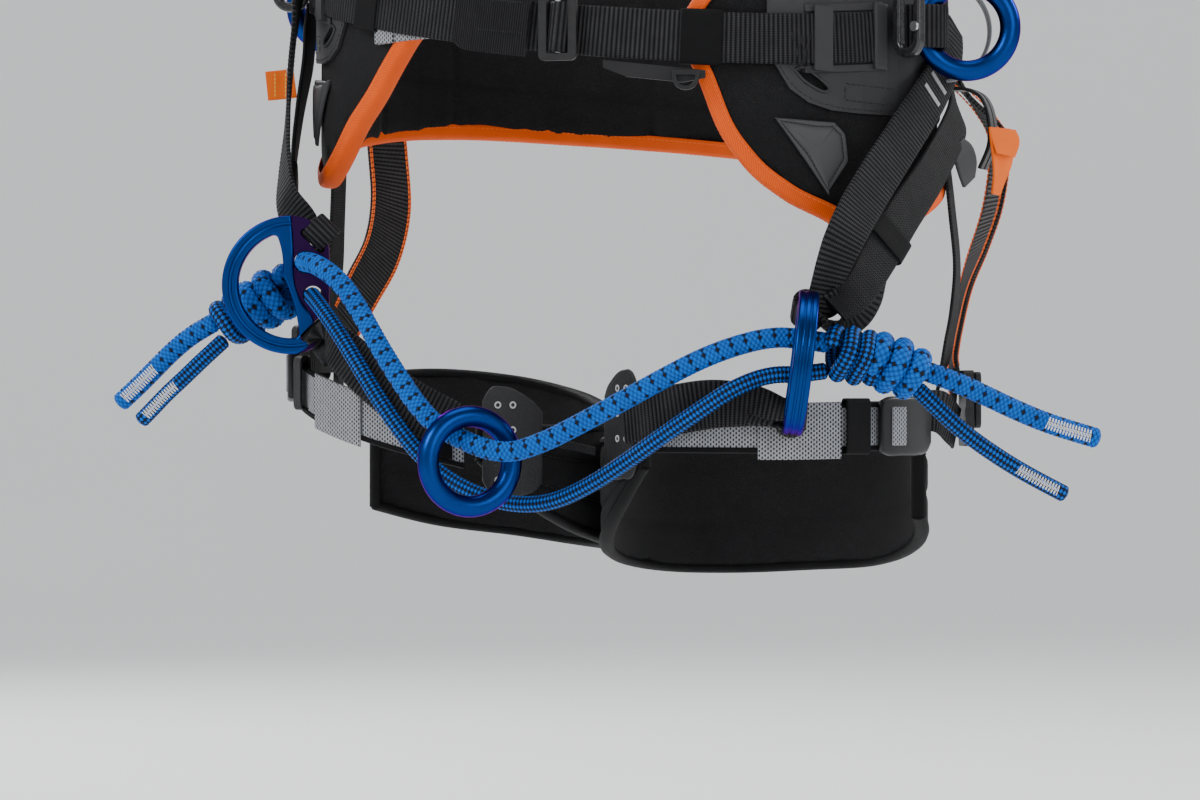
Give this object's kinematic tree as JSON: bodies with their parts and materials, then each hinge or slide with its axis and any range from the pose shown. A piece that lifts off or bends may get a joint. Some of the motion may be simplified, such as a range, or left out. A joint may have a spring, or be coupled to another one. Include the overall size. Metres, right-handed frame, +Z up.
{
  "type": "tree climbing saddle",
  "caption": "Tree climbing saddle: padded waist belt, leg loops, side rings, and a double rope bridge between D plates with a sliding ring.",
  "frame": {"origin": "centre of the wearer's waist at the height of the front belt", "axes": "+Z up along the wearer's waist, +X to the wearer's left, -Y to the wearer's front"},
  "size_m": [0.6218, 0.3376, 0.4268],
  "materials": {
    "black_mesh": "open knitted spacer mesh",
    "orange_twill": "woven binding tape with a stitch line",
    "black_webbing": "ribbed polyester webbing",
    "grey_mesh": "light grey diamond mesh",
    "black_elastic": "smooth knitted elastic",
    "coated_steel": "gloss black coating",
    "bare_steel": "satin steel",
    "black_plastic": "moulded, fine texture",
    "grey_rubber": "moulded rubber patch with a bevelled edge",
    "blue_anodised": "satin anodised aluminium",
    "blue_rope": "braided rope with dark flecks",
    "orange_webbing": "folded tape with stitches",
    "black_leather": "perforated synthetic leather"
  },
  "bodies": {
    "root": {"waist_pad": "black_mesh", "waist_binding": "orange_twill", "belt_webbing_left": "black_webbing", "belt_webbing_right": "black_webbing", "belt_webbing_rear": "black_webbing", "front_panel": "black_webbing", "grey_liner_tab": "grey_mesh", "belt_keepers": "black_elastic", "waist_buckle_frame": "coated_steel", "accessory_clip": "black_plastic", "side_plate_left": "black_plastic", "side_plate_right": "black_plastic", "rubber_patch_left": "grey_rubber", "rubber_patch_right": "grey_rubber", "ring_loop_left": "black_webbing", "ring_loop_right": "black_webbing", "ring_guards": "black_plastic", "shackle_left": "coated_steel", "shackle_right": "coated_steel", "shackle_screws": "bare_steel", "hip_strap_front_left": "black_webbing", "hip_strap_front_right": "black_webbing", "hip_strap_rear_left": "black_webbing", "hip_strap_rear_right": "black_webbing", "hip_keepers": "black_elastic", "rear_strap_left": "orange_twill", "rear_strap_right": "orange_twill", "side_risers": "black_webbing", "leg_side_straps": "black_webbing", "gear_clip": "black_plastic", "pull_tabs": "orange_webbing", "bridge_dplate_left": "blue_anodised", "bridge_dplate_right": "blue_anodised", "bridge_rope_thick": "blue_rope", "bridge_rope_thin": "blue_rope", "tail_right_thick": "blue_rope", "tail_right_thin": "blue_rope", "tail_left_thick": "blue_rope", "tail_left_thin": "blue_rope", "knots_right": "blue_rope", "knots_left": "blue_rope", "leg_pad_left": "black_mesh", "leg_pad_right": "black_mesh", "leg_band_left": "grey_mesh", "leg_band_right": "grey_mesh", "perforated_tabs": "black_leather", "buckle_covers": "black_plastic", "leg_keepers": "black_elastic", "leg_strap_left": "black_webbing", "leg_strap_right": "black_webbing", "leg_link_strap": "black_webbing", "adjuster_frame_left": "coated_steel", "adjuster_frame_right": "coated_steel"},
    "side_ring_left": {"side_ring_left": "blue_anodised"},
    "side_ring_right": {"side_ring_right": "blue_anodised"},
    "bridge_ring": {"bridge_ring": "blue_anodised"},
    "accessory_loop": {"accessory_loop": "black_plastic"},
    "waist_buckle_bar": {"waist_buckle_bar": "bare_steel"},
    "adjuster_lever_left": {"adjuster_lever_left": "coated_steel"},
    "adjuster_lever_right": {"adjuster_lever_right": "coated_steel"}
  },
  "joints": [
    {"name": "side_ring_left_swing", "type": "hinge", "parent": "root", "child": "side_ring_left", "pos_m": [0.20202, -0.04078, 0.00178], "axis": [0, 0, 1], "range_deg": [-70, 20]},
    {"name": "side_ring_right_swing", "type": "hinge", "parent": "root", "child": "side_ring_right", "pos_m": [-0.19315, 0.05856, 0.03325], "axis": [0, 0, 1], "range_deg": [-15, 45]},
    {"name": "bridge_ring_swing", "type": "hinge", "parent": "root", "child": "bridge_ring", "pos_m": [-0.037, -0.17325, -0.24625], "axis": [0.9274, -0.1043, -0.3593], "range_deg": [-75, 60]},
    {"name": "accessory_loop_swing", "type": "hinge", "parent": "root", "child": "accessory_loop", "pos_m": [0.08392, -0.13417, -0.02843], "axis": [-0.9564, -0.2921, 0], "range_deg": [0, 80]},
    {"name": "waist_buckle_bar_slide", "type": "slide", "parent": "root", "child": "waist_buckle_bar", "axis": [0.9997, 0.0257, 0], "range_m": [-0.0035, 0.0035]},
    {"name": "adjuster_lever_left_tilt", "type": "hinge", "parent": "root", "child": "adjuster_lever_left", "pos_m": [0.21914, 0.01314, -0.206], "axis": [0.3746, -0.9272, 0], "range_deg": [0, 40]},
    {"name": "adjuster_lever_right_tilt", "type": "hinge", "parent": "root", "child": "adjuster_lever_right", "pos_m": [-0.21914, 0.01314, -0.176], "axis": [0.3746, 0.9272, 0], "range_deg": [0, 40]}
  ]
}
